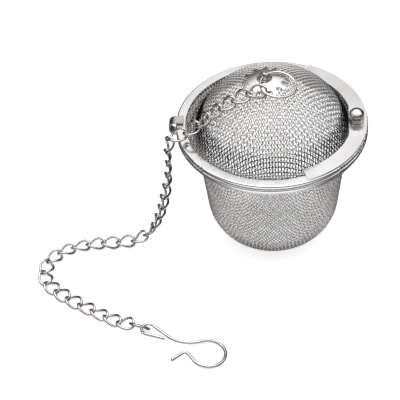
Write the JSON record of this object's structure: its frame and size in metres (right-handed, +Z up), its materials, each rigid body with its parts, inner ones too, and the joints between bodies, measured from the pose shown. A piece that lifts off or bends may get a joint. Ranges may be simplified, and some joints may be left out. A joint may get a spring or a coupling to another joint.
{
  "type": "tea infuser",
  "caption": "Stainless steel tea infuser: woven wire basket with a domed woven lid that swivels open at a rivet, a catch clip, and a link chain ending in a bent-wire hook.",
  "frame": {"origin": "where the basket's axis meets the table, in the middle of its flat foot", "axes": "+Z up along the basket's axis; +X towards the rivet that the lid swivels on; the catch clip is at -X and the chain lies towards -X and -Y"},
  "size_m": [0.0968, 0.0853, 0.0598],
  "materials": {
    "woven_wire": "fine woven stainless wire",
    "rim_steel": "polished stainless sheet",
    "polished_fittings": "polished stamped stainless steel",
    "chain_wire": "bright drawn stainless wire"
  },
  "bodies": {
    "basket": {"basket_mesh": "woven_wire", "basket_rim": "rim_steel", "basket_crimp_ring": "rim_steel", "basket_pivot_plate": "rim_steel", "latch_clip": "polished_fittings", "pivot_rivet": "polished_fittings", "pivot_washer": "polished_fittings"},
    "lid": {"lid_mesh": "woven_wire", "lid_rim": "rim_steel", "lid_crimp_ring": "rim_steel", "lid_pivot_plate": "rim_steel", "crown_cap": "polished_fittings", "crown_washer": "polished_fittings", "crown_eye": "polished_fittings"},
    "jump_ring": {"jump_ring": "chain_wire"},
    "link_01": {"chain_link_01": "chain_wire"},
    "link_02": {"chain_link_02": "chain_wire"},
    "link_03": {"chain_link_03": "chain_wire"},
    "link_04": {"chain_link_04": "chain_wire"},
    "link_05": {"chain_link_05": "chain_wire"},
    "link_06": {"chain_link_06": "chain_wire"},
    "link_07": {"chain_link_07": "chain_wire"},
    "link_08": {"chain_link_08": "chain_wire"},
    "link_09": {"chain_link_09": "chain_wire"},
    "link_10": {"chain_link_10": "chain_wire"},
    "link_11": {"chain_link_11": "chain_wire"},
    "link_12": {"chain_link_12": "chain_wire"},
    "link_13": {"chain_link_13": "chain_wire"},
    "link_14": {"chain_link_14": "chain_wire"},
    "link_15": {"chain_link_15": "chain_wire"},
    "link_16": {"chain_link_16": "chain_wire"},
    "link_17": {"chain_link_17": "chain_wire"},
    "link_18": {"chain_link_18": "chain_wire"},
    "link_19": {"chain_link_19": "chain_wire"},
    "link_20": {"chain_link_20": "chain_wire"},
    "link_21": {"chain_link_21": "chain_wire"},
    "link_22": {"chain_link_22": "chain_wire"},
    "link_23": {"chain_link_23": "chain_wire"},
    "link_24": {"chain_link_24": "chain_wire"},
    "link_25": {"chain_link_25": "chain_wire"},
    "link_26": {"chain_link_26": "chain_wire"},
    "link_27": {"chain_link_27": "chain_wire"},
    "link_28": {"chain_link_28": "chain_wire"},
    "link_29": {"chain_link_29": "chain_wire"},
    "link_30": {"chain_link_30": "chain_wire"},
    "link_31": {"chain_link_31": "chain_wire"},
    "link_32": {"chain_link_32": "chain_wire"},
    "hook_ring": {"hook_ring": "chain_wire"},
    "hook": {"hook": "chain_wire"}
  },
  "joints": [
    {"name": "lid_swivel", "type": "hinge", "parent": "basket", "child": "lid", "pos_m": [0.0241, 0, 0.0414], "axis": [0, 0, 1], "range_deg": [0, 150]},
    {"name": "jump_ring_swivel", "type": "hinge", "parent": "lid", "child": "jump_ring", "pos_m": [-0.00189, -0.00027, 0.05833], "axis": [0, 0, 1], "range_deg": [0, 10]},
    {"name": "link_01_joint", "type": "hinge", "parent": "jump_ring", "child": "link_01", "pos_m": [-0.00169, -0.00587, 0.05786], "axis": [-0.2176, 0.9529, 0.2112], "range_deg": [0, 7]},
    {"name": "link_02_joint", "type": "hinge", "parent": "link_01", "child": "link_02", "pos_m": [-0.00612, -0.00677, 0.05735], "axis": [-0.2452, 0.948, 0.2029], "range_deg": [0, 7]},
    {"name": "link_03_joint", "type": "hinge", "parent": "link_02", "child": "link_03", "pos_m": [-0.01022, -0.00744, 0.0555], "axis": [-0.2343, 0.9496, 0.2083], "range_deg": [0, 7]},
    {"name": "link_04_joint", "type": "hinge", "parent": "link_03", "child": "link_04", "pos_m": [-0.014, -0.00782, 0.053], "axis": [-0.2006, 0.9516, 0.2328], "range_deg": [0, 7]},
    {"name": "link_05_joint", "type": "hinge", "parent": "link_04", "child": "link_05", "pos_m": [-0.01742, -0.0078, 0.04999], "axis": [-0.2118, 0.9519, 0.2214], "range_deg": [0, 7]},
    {"name": "link_06_joint", "type": "hinge", "parent": "link_05", "child": "link_06", "pos_m": [-0.02047, -0.0077, 0.04662], "axis": [-0.2161, 0.9524, 0.2151], "range_deg": [0, 7]},
    {"name": "link_07_joint", "type": "hinge", "parent": "link_06", "child": "link_07", "pos_m": [-0.02426, -0.00799, 0.04411], "axis": [-0.2804, 0.9568, 0.0768], "range_deg": [0, 7]},
    {"name": "link_08_joint", "type": "hinge", "parent": "link_07", "child": "link_08", "pos_m": [-0.02842, -0.0091, 0.04265], "axis": [-0.3055, 0.9521, -0.0104], "range_deg": [0, 7]},
    {"name": "link_09_joint", "type": "hinge", "parent": "link_08", "child": "link_09", "pos_m": [-0.02952, -0.0095, 0.03825], "axis": [-0.3062, 0.952, -0.0005], "range_deg": [0, 7]},
    {"name": "link_10_joint", "type": "hinge", "parent": "link_09", "child": "link_10", "pos_m": [-0.0295, -0.00949, 0.0337], "axis": [-0.3041, 0.9522, 0.0289], "range_deg": [0, 7]},
    {"name": "link_11_joint", "type": "hinge", "parent": "link_10", "child": "link_11", "pos_m": [-0.02978, -0.00944, 0.02916], "axis": [-0.2979, 0.9529, 0.0566], "range_deg": [0, 7]},
    {"name": "link_12_joint", "type": "hinge", "parent": "link_11", "child": "link_12", "pos_m": [-0.03042, -0.00938, 0.02465], "axis": [-0.2878, 0.9539, 0.0848], "range_deg": [0, 7]},
    {"name": "link_13_joint", "type": "hinge", "parent": "link_12", "child": "link_13", "pos_m": [-0.03133, -0.00925, 0.0202], "axis": [-0.2736, 0.9545, 0.1185], "range_deg": [0, 7]},
    {"name": "link_14_joint", "type": "hinge", "parent": "link_13", "child": "link_14", "pos_m": [-0.0324, -0.00901, 0.01578], "axis": [-0.2553, 0.9546, 0.1533], "range_deg": [0, 7]},
    {"name": "link_15_joint", "type": "hinge", "parent": "link_14", "child": "link_15", "pos_m": [-0.03371, -0.00867, 0.01144], "axis": [-0.2346, 0.9557, 0.1779], "range_deg": [0, 7]},
    {"name": "link_16_joint", "type": "hinge", "parent": "link_15", "child": "link_16", "pos_m": [-0.03547, -0.00832, 0.00725], "axis": [0, 0, -1], "range_deg": [-5, 5]},
    {"name": "link_17_joint", "type": "hinge", "parent": "link_16", "child": "link_17", "pos_m": [-0.03804, -0.00818, 0.0035], "axis": [0, 0, 1], "range_deg": [-10, 10]},
    {"name": "link_18_joint", "type": "hinge", "parent": "link_17", "child": "link_18", "pos_m": [-0.04202, -0.00853, 0.00134], "axis": [0, 0, -1], "range_deg": [-10, 10]},
    {"name": "link_19_joint", "type": "hinge", "parent": "link_18", "child": "link_19", "pos_m": [-0.04653, -0.0091, 0.00105], "axis": [0, 0, 1], "range_deg": [-10, 10]},
    {"name": "link_20_joint", "type": "hinge", "parent": "link_19", "child": "link_20", "pos_m": [-0.05104, -0.00963, 0.00127], "axis": [0, 0, -1], "range_deg": [-10, 10]},
    {"name": "link_21_joint", "type": "hinge", "parent": "link_20", "child": "link_21", "pos_m": [-0.05554, -0.0103, 0.00122], "axis": [0, 0, 1], "range_deg": [-10, 10]},
    {"name": "link_22_joint", "type": "hinge", "parent": "link_21", "child": "link_22", "pos_m": [-0.05991, -0.01159, 0.0012], "axis": [0, 0, -1], "range_deg": [-10, 10]},
    {"name": "link_23_joint", "type": "hinge", "parent": "link_22", "child": "link_23", "pos_m": [-0.06383, -0.0139, 0.00121], "axis": [0, 0, 1], "range_deg": [-10, 10]},
    {"name": "link_24_joint", "type": "hinge", "parent": "link_23", "child": "link_24", "pos_m": [-0.06654, -0.01755, 0.00121], "axis": [0, 0, -1], "range_deg": [-10, 10]},
    {"name": "link_25_joint", "type": "hinge", "parent": "link_24", "child": "link_25", "pos_m": [-0.06736, -0.02203, 0.00121], "axis": [0, 0, 1], "range_deg": [-10, 10]},
    {"name": "link_26_joint", "type": "hinge", "parent": "link_25", "child": "link_26", "pos_m": [-0.06611, -0.0264, 0.00121], "axis": [0, 0, -1], "range_deg": [-10, 10]},
    {"name": "link_27_joint", "type": "hinge", "parent": "link_26", "child": "link_27", "pos_m": [-0.0628, -0.02952, 0.00121], "axis": [0, 0, 1], "range_deg": [-10, 10]},
    {"name": "link_28_joint", "type": "hinge", "parent": "link_27", "child": "link_28", "pos_m": [-0.05919, -0.0323, 0.00121], "axis": [0, 0, -1], "range_deg": [-10, 10]},
    {"name": "link_29_joint", "type": "hinge", "parent": "link_28", "child": "link_29", "pos_m": [-0.05539, -0.0348, 0.00121], "axis": [0, 0, 1], "range_deg": [-10, 10]},
    {"name": "link_30_joint", "type": "hinge", "parent": "link_29", "child": "link_30", "pos_m": [-0.05146, -0.0371, 0.00121], "axis": [0, 0, -1], "range_deg": [-10, 10]},
    {"name": "link_31_joint", "type": "hinge", "parent": "link_30", "child": "link_31", "pos_m": [-0.04752, -0.03937, 0.00123], "axis": [0, 0, 1], "range_deg": [-10, 10]},
    {"name": "link_32_joint", "type": "hinge", "parent": "link_31", "child": "link_32", "pos_m": [-0.04345, -0.04141, 0.00119], "axis": [0, 0, -1], "range_deg": [-10, 10]},
    {"name": "hook_ring_joint", "type": "hinge", "parent": "link_32", "child": "hook_ring", "pos_m": [-0.03936, -0.0431, 0.00224], "axis": [0, 0, 1], "range_deg": [-10, 10]},
    {"name": "hook_joint", "type": "hinge", "parent": "hook_ring", "child": "hook", "pos_m": [-0.03464, -0.04482, 0.00224], "axis": [0, 0, 1], "range_deg": [-8, 8]}
  ]
}
